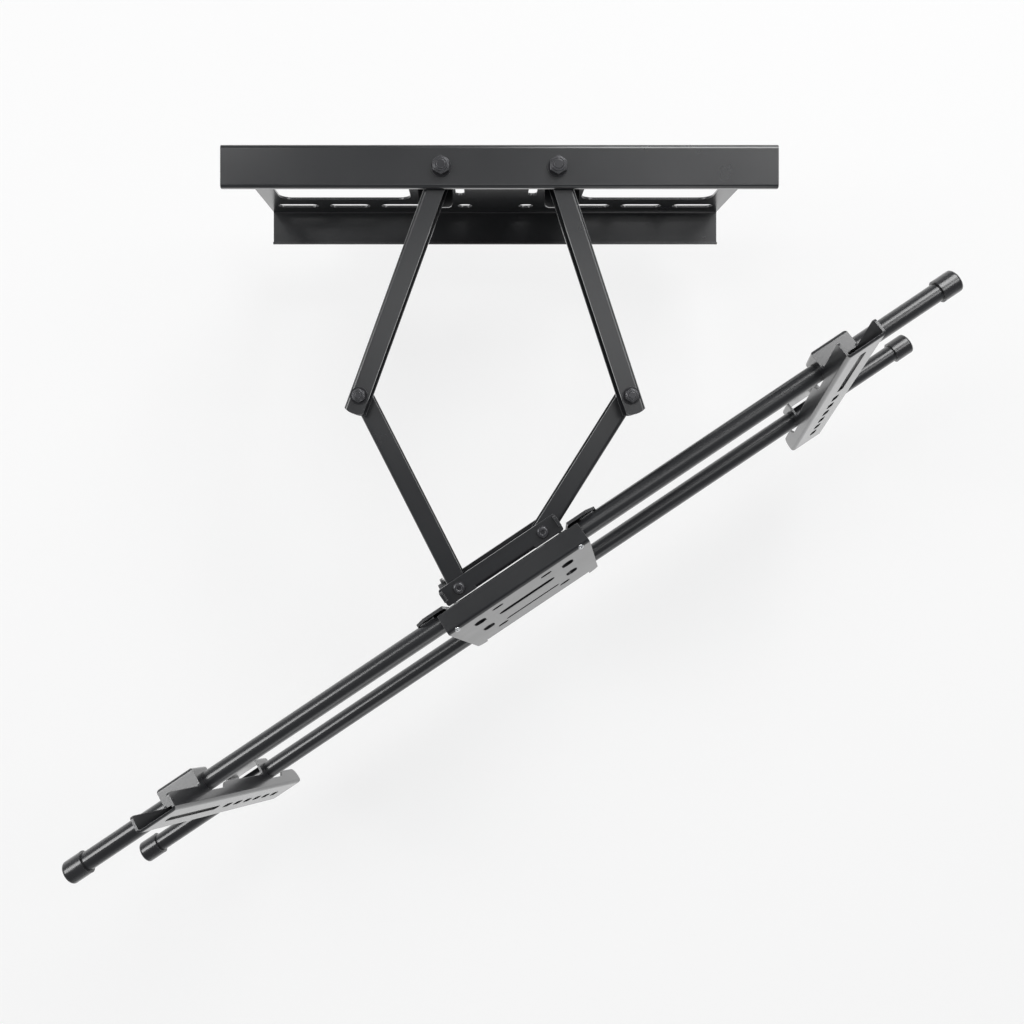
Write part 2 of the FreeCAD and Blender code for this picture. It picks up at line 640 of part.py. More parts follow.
def shoulder(name):
    """Bolt from the shelf up through the inner arm and the plate's flange, with its rings and nut."""
    fit = SHOULDER_R + RUN_FIT
    flange = PLATE_H / 2
    low = SHELF_TOP - SHELF_T
    seat = flange + WASHER_T
    reach = seat + SHOULDER_NUT + COLLAR_H + BOLT_PAST - low
    pieces = {
        "bolt": (hex_bolt(SHOULDER_R, SHOULDER_FLATS, SHOULDER_HEAD, reach), low),
        "washer": (ring(SHOULDER_WASHER_R, fit, WASHER_T), flange),
        "nut": (lock_nut(SHOULDER_FLATS, SHOULDER_NUT, SHOULDER_COLLAR_R, SHOULDER_R), seat),
        "spacer": (ring(SHIM_R, fit, flange - PLATE_T - INNER_TOP), INNER_TOP),
        "shim": (ring(SHIM_R, fit, SHIM_T), SHELF_TOP),
    }
    return placed(pieces, f"{name}_shoulder_", SHOULDER[name])


def elbow(name):
    """Bolt from under the outer arm up through the inner arm."""
    seat = INNER_TOP + WASHER_T
    reach = seat + ELBOW_NUT + COLLAR_H + BOLT_PAST - OUTER_BOTTOM
    pieces = {
        "bolt": (hex_bolt(ELBOW_R, ELBOW_FLATS, ELBOW_HEAD, reach), OUTER_BOTTOM),
        "washer": (ring(ELBOW_WASHER_R, ELBOW_R + RUN_FIT, WASHER_T), INNER_TOP),
        "nut": (lock_nut(ELBOW_FLATS, ELBOW_NUT, ELBOW_COLLAR_R, ELBOW_R), seat),
        "shim": (ring(SHIM_R, ELBOW_R + RUN_FIT, SHIM_T), OUTER_TOP),
    }
    return placed(pieces, f"{name}_elbow_", ELBOW[name])


def head_pivot(name):
    """Domed bolt down through the bracket's flanges and the outer arm, with a nut below."""
    reach = FLANGE_TOP - FLANGE_BOTTOM + HEAD_NUT + COLLAR_H + BOLT_PAST
    nut = turned(lock_nut(HEAD_FLATS, HEAD_NUT, SHOULDER_COLLAR_R, HEAD_R), (1, 0, 0), 180)
    shim = ring(SHIM_R, HEAD_R + RUN_FIT, SHIM_T)
    pieces = {
        "bolt": (button_bolt(HEAD_R, reach), FLANGE_TOP),
        "nut": (nut, FLANGE_BOTTOM),
        "upper_shim": (shim, OUTER_TOP),
        "lower_shim": (shim, OUTER_BOTTOM - SHIM_T),
    }
    return placed(pieces, f"{name}_head_", HEAD[name])


def tilt_pivot(name, side):
    """Bolt along the tubes through the frame's ear, a friction washer and the bracket's ear."""
    seat = CLAMP_EAR_IN + CLAMP_T + TILT_PLAY
    inner = BRACKET_HALF - BRACKET_T
    reach = seat - inner + TILT_NUT + BOLT_PAST
    bolt = turned(hex_bolt(TILT_R, TILT_FLATS, TILT_HEAD, reach), (1, 0, 0), 180)
    nut = hex_block(TILT_FLATS, TILT_NUT).cut(rod(TILT_R, (0, 0, 0), (0, 0, TILT_NUT)))
    pieces = {
        "bolt": moved(bolt, 0, 0, seat),
        "nut": moved(turned(nut, (1, 0, 0), 180), 0, 0, inner),
        "washer": moved(ring(TILT_WASHER_R, TILT_R + RUN_FIT, TILT_WASHER_T), 0, 0, BRACKET_HALF),
    }
    nodes = {}
    for part, shape in pieces.items():
        shape = turned(shape, (0, 1, 0), 90 * side)
        nodes[f"{name}_tilt_{part}"] = to_head(moved(shape, 0, TILT_BACK, TILT_Z))
    return nodes


def build():
    parts = {"wall_plate": wall_plate(), "pivot_shelf": pivot_shelf()}
    for name, side in (("left", -1), ("right", 1)):
        head_fit = RUN_FIT if name == "left" else LOOSE_FIT
        parts.update(shoulder(name))
        parts.update(elbow(name))
        parts.update(head_pivot(name))
        parts.update(tilt_pivot(name, side))
        parts[name + "_inner_arm"] = arm(SHOULDER[name], ELBOW[name], INNER_BOTTOM, side, ELBOW_PAST,
                                         (SHOULDER_R + RUN_FIT, ELBOW_R + RUN_FIT))
        parts[name + "_outer_arm"] = arm(ELBOW[name], HEAD[name], OUTER_BOTTOM, side, ARM_W / 2,
                                         (ELBOW_R + RUN_FIT, HEAD_R + head_fit))
        parts[name + "_tube_screw"] = tube_screw(side)
        parts["upper_" + name + "_cap"] = end_cap(side, 0, 0)
        parts["lower_" + name + "_cap"] = end_cap(side, LOWER_TUBE_SLIP, -TUBE_SPACING)
        parts[name + "_screen_bracket"] = screen_bracket(side)
        parts[name + "_lock_screw"] = lock_screw(side)
    parts["swivel_bracket"] = swivel_bracket()
    parts["face_plate"] = face_plate()
    parts["clamp_plate"] = clamp_plate()
    screw_holes = [tube_screw_hole(side) for side in (-1, 1)]
    parts["upper_tube"] = to_frame(tube(0, 0).cut(screw_holes))
    parts["lower_tube"] = to_frame(tube(LOWER_TUBE_SLIP, -TUBE_SPACING))
    return parts


os.makedirs("parts", exist_ok=True)
for node, solid in build().items():
    solid.exportStep("parts/" + node + ".step")
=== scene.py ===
"""Finishes, welds, screw recesses, studio and camera for the swivel screen mount."""
import json
import math

import bmesh
import bpy
from mathutils import Matrix, Vector


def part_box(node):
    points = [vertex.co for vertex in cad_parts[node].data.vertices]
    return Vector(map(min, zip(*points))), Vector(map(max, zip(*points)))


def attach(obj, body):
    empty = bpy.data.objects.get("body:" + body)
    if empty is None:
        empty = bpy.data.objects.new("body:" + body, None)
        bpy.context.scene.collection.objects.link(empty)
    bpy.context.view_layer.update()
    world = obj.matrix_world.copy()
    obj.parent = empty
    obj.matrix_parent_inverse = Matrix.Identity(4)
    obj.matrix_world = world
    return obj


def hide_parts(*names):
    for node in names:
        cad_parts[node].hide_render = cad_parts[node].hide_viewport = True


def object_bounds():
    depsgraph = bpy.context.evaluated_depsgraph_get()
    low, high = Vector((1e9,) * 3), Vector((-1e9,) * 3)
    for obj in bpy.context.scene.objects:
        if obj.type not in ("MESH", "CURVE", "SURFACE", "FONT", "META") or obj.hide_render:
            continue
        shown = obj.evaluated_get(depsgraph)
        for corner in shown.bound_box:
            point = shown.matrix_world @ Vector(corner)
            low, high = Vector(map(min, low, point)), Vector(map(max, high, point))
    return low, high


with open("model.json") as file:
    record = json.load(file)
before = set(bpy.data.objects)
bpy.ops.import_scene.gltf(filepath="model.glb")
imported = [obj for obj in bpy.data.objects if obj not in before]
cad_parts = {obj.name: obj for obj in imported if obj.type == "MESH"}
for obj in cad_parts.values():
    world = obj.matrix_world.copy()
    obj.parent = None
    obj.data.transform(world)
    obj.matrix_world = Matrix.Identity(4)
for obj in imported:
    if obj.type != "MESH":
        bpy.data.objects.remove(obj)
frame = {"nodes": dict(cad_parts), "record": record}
cad_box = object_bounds()
NODES = frame["nodes"]
RECORD = frame["record"]
MM = 0.001
SIDES = (("left", -1), ("right", 1))
MOUNT_MIDDLE = (Vector(cad_box[0]) + Vector(cad_box[1])) / 2

# The photograph's camera: straight down, over a point between the wall plate and the head
IMAGE_PX = 1024
FOCAL_PX = 1054
CENTRE_PX = (478, 462)
CAMERA_AT = Vector((-16.9, -250.6, 940.0)) * MM
SENSOR_MM = 36.0
NEAR_CLIP = 0.01

# Studio: lengths in metres, glows and skies as strengths where 1 is white
FLOOR_HALF = 8.0
FLOOR_DROP = 0.06
FLOOR_TONE = (0.86, 0.86, 0.855, 1.0)
FLOOR_ROUGHNESS = 0.9
FLOOR_GLOW = 0.72
# Between these distances from its middle the floor turns as white as the backdrop
BACKDROP_FROM = 1.2
BACKDROP_TO = 4.0
# Mirrored in the mount, it dims between these distances to the last strength
MIRROR_WHITE_TO = 0.55
MIRROR_DIM_FROM = 1.50
MIRROR_GLOW = 0.06
SKY_TONE = (0.90, 0.92, 0.95, 1.0)
# The sky dims from the horizon up to where a direction of length 1 rises by SKY_DIM_FROM
SKY_HORIZON = 0.55
SKY_OVERHEAD = 0.19
SKY_DIM_FROM = 0.55
WHITE = (1.0, 1.0, 1.0, 1.0)
# Lamps: place from the mount's middle in metres, width and depth in metres, power in watts
LAMPS = (
    ("overhead_panel", (0.17, 0.405, 2.00), (1.06, 0.48), 1.85),
    ("left_wing", (-0.90, 1.13, 2.00), (0.60, 0.44), 2.6),
    ("right_wing", (0.66, 0.94, 2.00), (0.60, 0.40), 0.4),
    ("right_box", (1.40, 0.75, 1.95), (0.70, 0.90), 10.0),
    ("rear_panel", (0.66, 1.70, 1.62), (1.10, 1.30), 30.0),
    ("left_box", (-1.86, 0.42, 1.85), (1.20, 1.10), 27.0),
    ("front_box", (0.90, -2.00, 0.80), (1.40, 1.40), 7.0),
)

# Tones of the black coat, in linear light
COAT_DARK = (0.010, 0.0105, 0.012)
COAT_LIGHT = (0.017, 0.0175, 0.019)
# Painted highlight colour along the coat's edges, let in by the edge mask
COAT_EDGE = (0.16, 0.16, 0.165)
# Where the noise along an edge starts and ends a stretch of painted edge highlight, and the share of
# painted highlight left between stretches
HIGHLIGHT_FROM = 0.30
HIGHLIGHT_FULL = 0.55
HIGHLIGHT_LEAST = 0.45
EDGE_BEVEL_SAMPLES = 6
GRAIN_STRENGTH = 0.35

# Weld beads: lengths in millimetres, relief and tip as shares of the radius
BEAD_RADIUS = 2.0
BEAD_RIPPLE = 1.5
BEAD_RELIEF = 0.10
BEAD_TIP = 0.05
BEAD_LEAN = 0.35
BEAD_SIDES = 12
BEAD_STEPS_PER_RIPPLE = 6
TUBE_WELD_LENGTH = 14.0
TUBE_WELD_INSET = 2.5
TUBE_WELD_LEVEL = 15.0
TUBE_WELD_RISE = 4.4
TUBE_WELD_DEPTH = 7.0
SHELF_WELD_LENGTH = 22.0

# Tube screws: the head's rim as a share of its height, and the cross recess as shares of the head
SCREW_RIM = 0.35
SCREW_SIDES = 48
DOME_STEPS = 8
RECESS_REACH = 0.62
RECESS_WIDTH = 0.22
RECESS_DEPTH = 0.62
RECESS_TAPER = 0.55
# The bars that cut the recess start this far up, as a share of the crown's height over the tube's axis
RECESS_START = 1.2
# A point this far out, as a share of the widest, belongs to the head
HEAD_SHARE = 0.95

# Sockets of a Mix node that is set to colours
MIX_SHARE, MIX_FIRST, MIX_SECOND, MIX_RESULT = 0, 6, 7, 2


def measured_mesh(name):
    return [Vector(v.co) for v in NODES[name].data.vertices]


def middle_of(name):
    low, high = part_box(name)
    return (Vector(low) + Vector(high)) / 2


def screen_axes():
    """The screen frame's own directions: along the tubes, up the face and out of the face."""
    tilt = next(joint for joint in RECORD["behaviour"]["joints"] if joint["name"] == "tilt")
    face = next(mount for mount in RECORD["mounts"] if mount["name"] == "left_screen_face")
    along = Vector(tilt["axis"]).normalized()
    out = Vector(face["axis"]).normalized()
    return along, out.cross(along), out


ALONG, UP, OUT = screen_axes()
FRAME_MIDDLE = middle_of("upper_tube")


def axis_of(tube):
    """The point on a tube's axis level with the middle of the screen frame."""
    middle = middle_of(tube)
    return middle + ALONG * (FRAME_MIDDLE - middle).dot(ALONG)


def add_node(tree, kind, **settings):
    made = tree.nodes.new(kind)
    for key, value in settings.items():
        setattr(made, key, value)
    return made


def effect_group(name, inputs, outputs):
    """An empty shader group with named value inputs and typed outputs."""
    tree = bpy.data.node_groups.new(name, "ShaderNodeTree")
    for label, value in inputs:
        socket = tree.interface.new_socket(label, in_out="INPUT", socket_type="NodeSocketFloat")
        socket.default_value = value
    for label, kind in outputs:
        tree.interface.new_socket(label, in_out="OUTPUT", socket_type=kind)
    return tree, tree.nodes.new("NodeGroupInput"), tree.nodes.new("NodeGroupOutput")


def noise(tree, place, scale, detail, roughness):
    made = add_node(tree, "ShaderNodeTexNoise")
    made.inputs["Detail"].default_value = detail
    made.inputs["Roughness"].default_value = roughness
    tree.links.new(place, made.inputs["Vector"])
    tree.links.new(scale, made.inputs["Scale"])
    return made.outputs["Fac"]


def powder_grain():
    """Fine orange peel of a baked coat, with slow changes of tone under it."""
    tree, given, out = effect_group(
        "powder_grain",
        [("Grain per metre", 1400.0), ("Cloud per metre", 14.0)],
        [("Height", "NodeSocketFloat"), ("Tone", "NodeSocketFloat")],
    )
    place = add_node(tree, "ShaderNodeTexCoord").outputs["Object"]
    grain = noise(tree, place, given.outputs["Grain per metre"], detail=3.0, roughness=0.55)
    cloud = noise(tree, place, given.outputs["Cloud per metre"], detail=4.0, roughness=0.6)
    tree.links.new(grain, out.inputs["Height"])
    tree.links.new(cloud, out.inputs["Tone"])
    return tree


def painted_edge_highlight():
    """Painted highlight along folded and sheared edges: a mask that lightens their colour, and a normal
    that rounds the edge.
    """
    tree, given, out = effect_group(
        "painted_edge_highlight",
        [("Radius", 0.0008), ("Gain", 3.0), ("Breaks per metre", 160.0)],
        [("Mask", "NodeSocketFloat"), ("Normal", "NodeSocketVector")],
    )
    bevel = add_node(tree, "ShaderNodeBevel", samples=EDGE_BEVEL_SAMPLES)
    shape = add_node(tree, "ShaderNodeNewGeometry")
    match = add_node(tree, "ShaderNodeVectorMath", operation="DOT_PRODUCT")
    turn = add_node(tree, "ShaderNodeMath", operation="SUBTRACT")
    turn.inputs[0].default_value = 1.0
    gain = add_node(tree, "ShaderNodeMath", operation="MULTIPLY", use_clamp=True)
    place = add_node(tree, "ShaderNodeTexCoord").outputs["Object"]
    breaks = noise(tree, place, given.outputs["Breaks per metre"], detail=4.0, roughness=0.65)
    uneven = add_node(tree, "ShaderNodeMapRange")
    uneven.inputs["From Min"].default_value = HIGHLIGHT_FROM
    uneven.inputs["From Max"].default_value = HIGHLIGHT_FULL
    uneven.inputs["To Min"].default_value = HIGHLIGHT_LEAST
    mask = add_node(tree, "ShaderNodeMath", operation="MULTIPLY")
    tree.links.new(given.outputs["Radius"], bevel.inputs["Radius"])
    tree.links.new(bevel.outputs["Normal"], match.inputs[0])
    tree.links.new(shape.outputs["Normal"], match.inputs[1])
    tree.links.new(match.outputs["Value"], turn.inputs[1])
    tree.links.new(turn.outputs[0], gain.inputs[0])
    tree.links.new(given.outputs["Gain"], gain.inputs[1])
    tree.links.new(breaks, uneven.inputs["Value"])
    tree.links.new(gain.outputs[0], mask.inputs[0])
    tree.links.new(uneven.outputs["Result"], mask.inputs[1])
    tree.links.new(mask.outputs[0], out.inputs["Mask"])
    tree.links.new(bevel.outputs["Normal"], out.inputs["Normal"])
    return tree


GRAIN = powder_grain()
EDGE = painted_edge_highlight()


def finish(name, dark, light, edge, smooth, rough, grain, cloud, depth, radius, gain):
    """A surface of two close tones under a fine grain, with a painted highlight along its edges."""
    material = bpy.data.materials.new(name)
    material.use_nodes = True
    tree = material.node_tree
    shader = tree.nodes["Principled BSDF"]
    texture = add_node(tree, "ShaderNodeGroup", node_tree=GRAIN)
    texture.inputs["Grain per metre"].default_value = grain
    texture.inputs["Cloud per metre"].default_value = cloud
    painted_edge_node = add_node(tree, "ShaderNodeGroup", node_tree=EDGE)
    painted_edge_node.inputs["Radius"].default_value = radius
    painted_edge_node.inputs["Gain"].default_value = gain

    tone = add_node(tree, "ShaderNodeMix", data_type="RGBA")
    tone.inputs[MIX_FIRST].default_value = (*dark, 1.0)
    tone.inputs[MIX_SECOND].default_value = (*light, 1.0)
    tree.links.new(texture.outputs["Tone"], tone.inputs[MIX_SHARE])
    # Painted highlight: the edge colour is mixed into the base colour where the edge mask is high
    rim = add_node(tree, "ShaderNodeMix", data_type="RGBA")
    rim.inputs[MIX_SECOND].default_value = (*edge, 1.0)
    tree.links.new(painted_edge_node.outputs["Mask"], rim.inputs[MIX_SHARE])
    tree.links.new(tone.outputs[MIX_RESULT], rim.inputs[MIX_FIRST])
    tree.links.new(rim.outputs[MIX_RESULT], shader.inputs["Base Color"])

    sheen = add_node(tree, "ShaderNodeMapRange")
    sheen.inputs["To Min"].default_value = smooth
    sheen.inputs["To Max"].default_value = rough
    tree.links.new(texture.outputs["Tone"], sheen.inputs["Value"])
    tree.links.new(sheen.outputs["Result"], shader.inputs["Roughness"])

    bump = add_node(tree, "ShaderNodeBump")
    bump.inputs["Strength"].default_value = GRAIN_STRENGTH
    bump.inputs["Distance"].default_value = depth
    tree.links.new(texture.outputs["Height"], bump.inputs["Height"])
    tree.links.new(painted_edge_node.outputs["Normal"], bump.inputs["Normal"])
    tree.links.new(bump.outputs["Normal"], shader.inputs["Normal"])
    return material, shader


# The edge colour of each finish below is a painted highlight along its edges
def black_powder_coat():
    material, shader = finish(
        "black_powder_coat", dark=COAT_DARK, light=COAT_LIGHT, edge=COAT_EDGE,
        smooth=0.24, rough=0.34, grain=1400.0, cloud=14.0, depth=0.00003, radius=0.0008, gain=3.0)
    shader.inputs["Coat Weight"].default_value = 0.8
    shader.inputs["Coat Roughness"].default_value = 0.20
    return material


def flat_powder_coat():
    """The face plate's coat, less glossy than the rest."""
    material, shader = finish(
        "flat_powder_coat", dark=COAT_DARK, light=COAT_LIGHT, edge=COAT_EDGE,
        smooth=0.26, rough=0.36, grain=1400.0, cloud=14.0, depth=0.00003, radius=0.0008, gain=3.0)
    shader.inputs["Specular IOR Level"].default_value = 0.35
    shader.inputs["Coat Weight"].default_value = 0.35
    shader.inputs["Coat Roughness"].default_value = 0.20
    return material


def black_zinc():
    material, shader = finish(
        "black_zinc", dark=(0.050, 0.050, 0.054), light=(0.085, 0.085, 0.090), edge=(0.34, 0.34, 0.35),
        smooth=0.20, rough=0.32, grain=2600.0, cloud=60.0, depth=0.00006, radius=0.0006, gain=3.5)
    shader.inputs["Metallic"].default_value = 0.6
    return material


def dark_washer_steel():
    material, shader = finish(
        "dark_washer_steel",
        dark=(0.022, 0.022, 0.024), light=(0.040, 0.040, 0.043), edge=(0.20, 0.20, 0.21),
        smooth=0.28, rough=0.42, grain=3000.0, cloud=80.0, depth=0.00005, radius=0.0004, gain=2.0)
    shader.inputs["Metallic"].default_value = 0.7
    return material


def bright_zinc():
    material, shader = finish(
        "bright_zinc", dark=(0.62, 0.63, 0.64), light=(0.72, 0.73, 0.74), edge=(0.85, 0.85, 0.86),
        smooth=0.18, rough=0.28, grain=3000.0, cloud=120.0, depth=0.00003, radius=0.0002, gain=1.5)
    shader.inputs["Metallic"].default_value = 1.0
    return material


def moulded_cap():
    material, shader = finish(
        "moulded_cap", dark=(0.014, 0.014, 0.015), light=(0.021, 0.021, 0.023), edge=(0.05, 0.05, 0.053),
        smooth=0.22, rough=0.32, grain=900.0, cloud=30.0, depth=0.00003, radius=0.0010, gain=1.5)
    shader.inputs["Coat Weight"].default_value = 0.8
    shader.inputs["Coat Roughness"].default_value = 0.20
    return material


def painted_weld():
    material, shader = finish(
        "painted_weld", dark=(0.011, 0.0115, 0.013), light=(0.018, 0.0185, 0.020), edge=(0.07, 0.07, 0.073),
        smooth=0.28, rough=0.40, grain=900.0, cloud=40.0, depth=0.00014, radius=0.0004, gain=1.5)
    shader.inputs["Coat Weight"].default_value = 0.6
    return material


COATED = black_powder_coat()
FLAT_COATED = flat_powder_coat()
FASTENER = black_zinc()
WASHER = dark_washer_steel()
BRIGHT = bright_zinc()
CAP = moulded_cap()
WELD = painted_weld()


def finish_of(name):
    if name.endswith("_cap"):
        return CAP
    if name.endswith("_tube_screw"):
        return BRIGHT
    if name.endswith(("_washer", "_shim", "_spacer")):
        return WASHER
    if name.endswith(("_bolt", "_nut", "_screw")):
        return FASTENER
    if name == "face_plate":
        return FLAT_COATED
    return COATED


def paint_pieces():
    for name, piece in NODES.items():
        piece.data.materials.clear()
        piece.data.materials.append(finish_of(name))


def new_piece(name, mesh, body, material):
    piece = bpy.data.objects.new(name, mesh)
    bpy.context.scene.collection.objects.link(piece)
    mesh.materials.clear()
    mesh.materials.append(material)
    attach(piece, body)
    return piece


def mesh_from(sheet, name, smooth=True):
    bmesh.ops.recalc_face_normals(sheet, faces=sheet.faces)
    for face in sheet.faces:
        face.smooth = smooth
    mesh = bpy.data.meshes.new(name)
    sheet.to_mesh(mesh)
    sheet.free()
    return mesh


def bridge(sheet, rows):
    """Close a run of rings of points into one skin with flat ends."""
    count = len(rows[0])
    for low, high in zip(rows, rows[1:]):
        for k in range(count):
            following = (k + 1) % count
            sheet.faces.new((low[k], low[following], high[following], high[k]))
    sheet.faces.new(rows[0])
    sheet.faces.new(rows[-1])


def weld_bead(name, start, end, body):
    """A rippled bead along a line, rounded off at both ends, sunk into the corner that it fills."""
    run = end - start
    length = run.length / MM
    ahead = run.normalized()
    side = ahead.orthogonal().normalized()
    rise = ahead.cross(side)
    steps = int(length / BEAD_RIPPLE * BEAD_STEPS_PER_RIPPLE)
    sheet = bmesh.new()
    rows = []
    for k in range(steps + 1):
        at = length * k / steps
        inset = min(at, length - at, BEAD_RADIUS) / BEAD_RADIUS
        ripple = 1 + BEAD_RELIEF * (abs(math.sin(math.pi * at / BEAD_RIPPLE)) - 0.5)
        radius = BEAD_RADIUS * ripple * max(math.sqrt(inset * (2 - inset)), BEAD_TIP)
        row = []
        for m in range(BEAD_SIDES):
            angle = 2 * math.pi * m / BEAD_SIDES
            lean = BEAD_LEAN * math.cos(angle) * inset
            place = start + ahead * ((at + lean) * MM)
            place += (side * math.cos(angle) + rise * math.sin(angle)) * (radius * MM)
            row.append(sheet.verts.new(place))
        rows.append(row)
    bridge(sheet, rows)
    return new_piece(name, mesh_from(sheet, name), body, WELD)


def add_tube_welds():
    """Short beads that hold both tubes to the clamp plate, near its sides."""
    clamp = measured_mesh("clamp_plate")
    for tube in ("upper_tube", "lower_tube"):
        axis = axis_of(tube)
        places = [corner - axis for corner in clamp]
        beside = [place for place in places if abs(place.dot(UP)) < TUBE_WELD_LEVEL * MM]
        outer = max(place.dot(ALONG) for place in beside) / MM - TUBE_WELD_INSET
        for side, sign in SIDES:
            for level, rise in (("over", TUBE_WELD_RISE), ("under", -TUBE_WELD_RISE)):
                corner = axis + (UP * rise - OUT * TUBE_WELD_DEPTH) * MM
                reaches = (outer - TUBE_WELD_LENGTH, outer)
                ends = [corner + ALONG * (sign * reach * MM) for reach in reaches]
                weld_bead(f"{tube}_weld_{side}_{level}", *ends, "screen_frame")


def add_shelf_welds():
    """Beads down both sides of the pivot shelf's leg and along its lower edge."""
    low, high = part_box("pivot_shelf")
    inset = BEAD_RADIUS * MM / 2
    y = high[1] - inset
    half = SHELF_WELD_LENGTH * MM / 2
    level = low[2] + half + inset
    for side, x in (("left", low[0] - inset), ("right", high[0] + inset)):
        weld_bead(f"shelf_weld_{side}", Vector((x, y, level - half)), Vector((x, y, level + half)), "wall")
    third = (high[0] - low[0]) / 3
    for label, x in (("left", -third), ("middle", 0.0), ("right", third)):
        z = low[2] - inset
        weld_bead(f"shelf_weld_low_{label}", Vector((x - half, y, z)), Vector((x + half, y, z)), "wall")


def tapered_bar(sheet, long_half, short_half, top, bottom):
    """A bar that narrows downwards, for cutting one arm of a cross recess."""
    levels = []
    for z, share in ((bottom, RECESS_TAPER), (top, 1.0)):
        corners = ((-1, -1), (1, -1), (1, 1), (-1, 1))
        levels.append([sheet.verts.new((a * long_half * share, b * short_half, z)) for a, b in corners])
    bridge(sheet, levels)


def carve(piece, cutters):
    """Cut closed pieces out of another and keep the result as its mesh."""
    for cutter in cutters:
        cut = piece.modifiers.new("recess", "BOOLEAN")
        cut.operation = "DIFFERENCE"
        cut.solver = "EXACT"
        cut.object = cutter
    graph = bpy.context.evaluated_depsgraph_get()
    carved = bpy.data.meshes.new_from_object(piece.evaluated_get(graph))
    piece.modifiers.clear()
    piece.data = carved
    for cutter in cutters:
        bpy.data.objects.remove(cutter)


def measured_screw(node):
    """A plain tube screw as built: its foot on the tube's axis, its direction, and its sizes."""
    points = measured_mesh(node)
    centre = sum(points, Vector()) / len(points)
    foot = FRAME_MIDDLE + ALONG * (centre - FRAME_MIDDLE).dot(ALONG)
    axis = (centre - foot).normalized()
    heights = [(point - foot).dot(axis) for point in points]
    radii = [((point - foot) - axis * h).length for point, h in zip(points, heights)]
    head = max(radii)
    seat = min(h for h, r in zip(heights, radii) if r > head * HEAD_SHARE)
    sizes = {"stem": min(radii), "head": head, "tip": min(heights), "seat": seat, "top": max(heights)}
    return foot, axis, sizes


def screw_rings(stem, head, tip, seat, top):
    """Radius and height of each ring of a round-headed screw, from its tip to its crown."""
    rings = [(stem, tip), (stem, seat), (head, seat)]
    rim = (top - seat) * SCREW_RIM
    for k in range(DOME_STEPS):
        angle = math.pi / 2 * k / DOME_STEPS
        rings.append((head * math.cos(angle), seat + rim + (top - seat - rim) * math.sin(angle)))
    return rings


def turned_skin(rings):
    sheet = bmesh.new()
    rows = []
    for radius, height in rings:
        row = []
        for m in range(SCREW_SIDES):
            angle = 2 * math.pi * m / SCREW_SIDES
            row.append(sheet.verts.new((radius * math.cos(angle), radius * math.sin(angle), height)))
        rows.append(row)
    bridge(sheet, rows)
    return sheet


def recess_bars(head, seat, top):
    """Two crossed bars that cut the recess into a screw's crown."""
    bottom = top - (top - seat) * RECESS_DEPTH
    bars = []
    for turn in (0.0, math.pi / 2):
        sheet = bmesh.new()
        tapered_bar(sheet, head * RECESS_REACH, head * RECESS_WIDTH / 2, top * RECESS_START, bottom)
        bar = bpy.data.objects.new("recess_bar", mesh_from(sheet, "recess_bar", smooth=False))
        bar.data.transform(Matrix.Rotation(turn, 4, "Z"))
        bpy.context.scene.collection.objects.link(bar)
        bars.append(bar)
    return bars


def add_tube_screws():
    """Round-headed screws with a cross recess, in place of the plain ones on the face plate's fold."""
    for side, _ in SIDES:
        node = f"{side}_tube_screw"
        foot, axis, sizes = measured_screw(node)
        mesh = mesh_from(turned_skin(screw_rings(**sizes)), node)
        piece = new_piece(f"{side}_recessed_tube_screw", mesh, "screen_frame", BRIGHT)
        carve(piece, recess_bars(sizes["head"], sizes["seat"], sizes["top"]))
        piece.data.materials.clear()
        piece.data.materials.append(BRIGHT)
        piece.data.transform(Matrix((ALONG, axis.cross(ALONG), axis)).transposed().to_4x4())
        piece.data.transform(Matrix.Translation(foot))
        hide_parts(node)


def combined(tree, operation, first, second):
    made = add_node(tree, "ShaderNodeMath", operation=operation)
    tree.links.new(first, made.inputs[0])
    tree.links.new(second, made.inputs[1])
    return made.outputs[0]


def fade(tree, measure, near, far):
    """A value that changes smoothly with a measure, between two pairs of (measure, value)."""
    made = add_node(tree, "ShaderNodeMapRange", interpolation_type="SMOOTHSTEP")
    made.inputs["From Min"].default_value, made.inputs["To Min"].default_value = near
    made.inputs["From Max"].default_value, made.inputs["To Max"].default_value = far
    tree.links.new(measure, made.inputs["Value"])
    return made.outputs["Result"]


def floor_glow(tree):
    """The floor meets the white backdrop far out, and its mirror image dims there instead."""
    path = add_node(tree, "ShaderNodeLightPath")
    place = add_node(tree, "ShaderNodeTexCoord").outputs["Object"]
    length = add_node(tree, "ShaderNodeVectorMath", operation="LENGTH")
    tree.links.new(place, length.inputs[0])
    away = length.outputs["Value"]
    direct = fade(tree, away, (BACKDROP_FROM, FLOOR_GLOW), (BACKDROP_TO, 1.0))
    mirror = fade(tree, away, (MIRROR_WHITE_TO, FLOOR_GLOW), (MIRROR_DIM_FROM, MIRROR_GLOW))
    seen = combined(tree, "MULTIPLY", path.outputs["Is Camera Ray"], direct)
    shiny = combined(tree, "MAXIMUM", path.outputs["Is Glossy Ray"], path.outputs["Is Transmission Ray"])
    mirrored = combined(tree, "MULTIPLY", shiny, mirror)
    return combined(tree, "MAXIMUM", seen, mirrored)


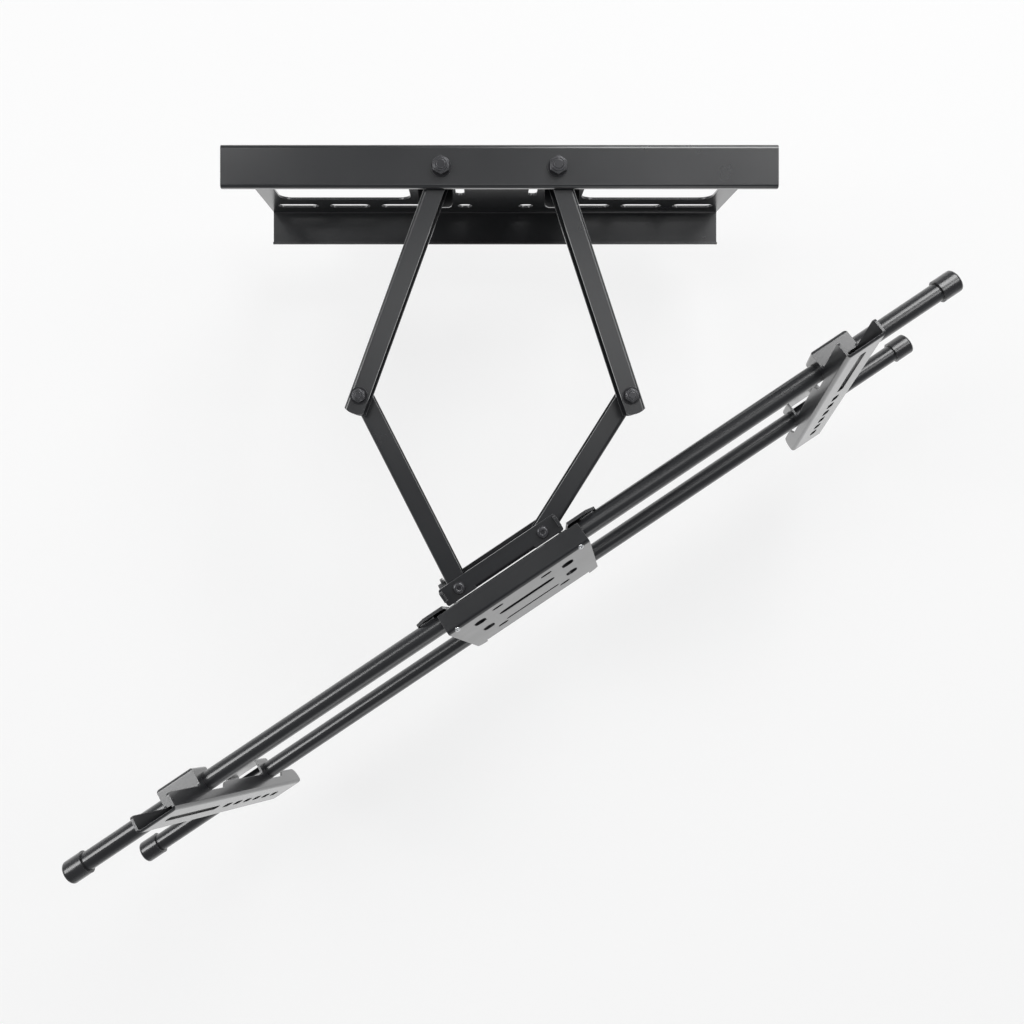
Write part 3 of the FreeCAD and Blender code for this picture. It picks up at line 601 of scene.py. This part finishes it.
def add_floor():
    """Pale paper, clear from below so that the mount's underside can be seen."""
    half = FLOOR_HALF
    corners = [(-half, -half, 0), (half, -half, 0), (half, half, 0), (-half, half, 0)]
    mesh = bpy.data.meshes.new("floor")
    mesh.from_pydata(corners, [], [(0, 1, 2, 3)])
    floor = bpy.data.objects.new("floor", mesh)
    floor.location = (MOUNT_MIDDLE.x, MOUNT_MIDDLE.y, cad_box[0][2] - FLOOR_DROP)
    bpy.context.scene.collection.objects.link(floor)
    paper = bpy.data.materials.new("pale_paper")
    paper.use_nodes = True
    tree = paper.node_tree
    shader = tree.nodes["Principled BSDF"]
    shader.inputs["Base Color"].default_value = FLOOR_TONE
    shader.inputs["Roughness"].default_value = FLOOR_ROUGHNESS
    shader.inputs["Specular IOR Level"].default_value = 0.0
    glow = add_node(tree, "ShaderNodeEmission")
    glow.inputs["Color"].default_value = WHITE
    blend = add_node(tree, "ShaderNodeMixShader")
    tree.links.new(floor_glow(tree), blend.inputs[0])
    tree.links.new(shader.outputs[0], blend.inputs[1])
    tree.links.new(glow.outputs[0], blend.inputs[2])
    below = add_node(tree, "ShaderNodeNewGeometry").outputs["Backfacing"]
    clear = add_node(tree, "ShaderNodeBsdfTransparent")
    side = add_node(tree, "ShaderNodeMixShader")
    tree.links.new(below, side.inputs[0])
    tree.links.new(blend.outputs[0], side.inputs[1])
    tree.links.new(clear.outputs[0], side.inputs[2])
    tree.links.new(side.outputs[0], tree.nodes["Material Output"].inputs["Surface"])
    mesh.materials.append(paper)


def add_sky():
    """White where the camera sees it, and a dim sky, brighter near the horizon, for everything else."""
    world = bpy.data.worlds.new("studio")
    world.use_nodes = True
    tree = world.node_tree
    sky = tree.nodes["Background"]
    sky.inputs["Color"].default_value = SKY_TONE
    direction = add_node(tree, "ShaderNodeTexCoord").outputs["Generated"]
    height = add_node(tree, "ShaderNodeSeparateXYZ")
    tree.links.new(direction, height.inputs[0])
    strength = fade(tree, height.outputs["Z"], (0.0, SKY_HORIZON), (SKY_DIM_FROM, SKY_OVERHEAD))
    tree.links.new(strength, sky.inputs["Strength"])
    backdrop = add_node(tree, "ShaderNodeBackground")
    backdrop.inputs["Color"].default_value = WHITE
    path = add_node(tree, "ShaderNodeLightPath")
    blend = add_node(tree, "ShaderNodeMixShader")
    tree.links.new(path.outputs["Is Camera Ray"], blend.inputs[0])
    tree.links.new(sky.outputs[0], blend.inputs[1])
    tree.links.new(backdrop.outputs[0], blend.inputs[2])
    tree.links.new(blend.outputs[0], tree.nodes["World Output"].inputs["Surface"])
    bpy.context.scene.world = world


def add_lamps():
    for name, offset, size, power in LAMPS:
        lamp = bpy.data.lights.new(name, "AREA")
        lamp.shape = "RECTANGLE"
        lamp.size, lamp.size_y = size
        lamp.energy = power
        back = Vector(offset).normalized()
        across = (Vector((1, 0, 0)) - back * back.x).normalized()
        turn = Matrix((across, back.cross(across), back)).transposed().to_4x4()
        holder = bpy.data.objects.new(name, lamp)
        holder.matrix_world = Matrix.Translation(MOUNT_MIDDLE + Vector(offset)) @ turn
        bpy.context.scene.collection.objects.link(holder)


def add_camera():
    lens = bpy.data.cameras.new("camera")
    lens.sensor_width = SENSOR_MM
    lens.lens = SENSOR_MM * FOCAL_PX / IMAGE_PX
    lens.shift_x = (IMAGE_PX / 2 - CENTRE_PX[0]) / IMAGE_PX
    lens.shift_y = (CENTRE_PX[1] - IMAGE_PX / 2) / IMAGE_PX
    lens.clip_start = NEAR_CLIP
    holder = bpy.data.objects.new("camera", lens)
    holder.location = CAMERA_AT
    bpy.context.scene.collection.objects.link(holder)
    bpy.context.scene.camera = holder


paint_pieces()
add_tube_welds()
add_shelf_welds()
add_tube_screws()
add_floor()
add_sky()
add_lamps()
add_camera()
bpy.context.scene.view_settings.view_transform = "Standard"
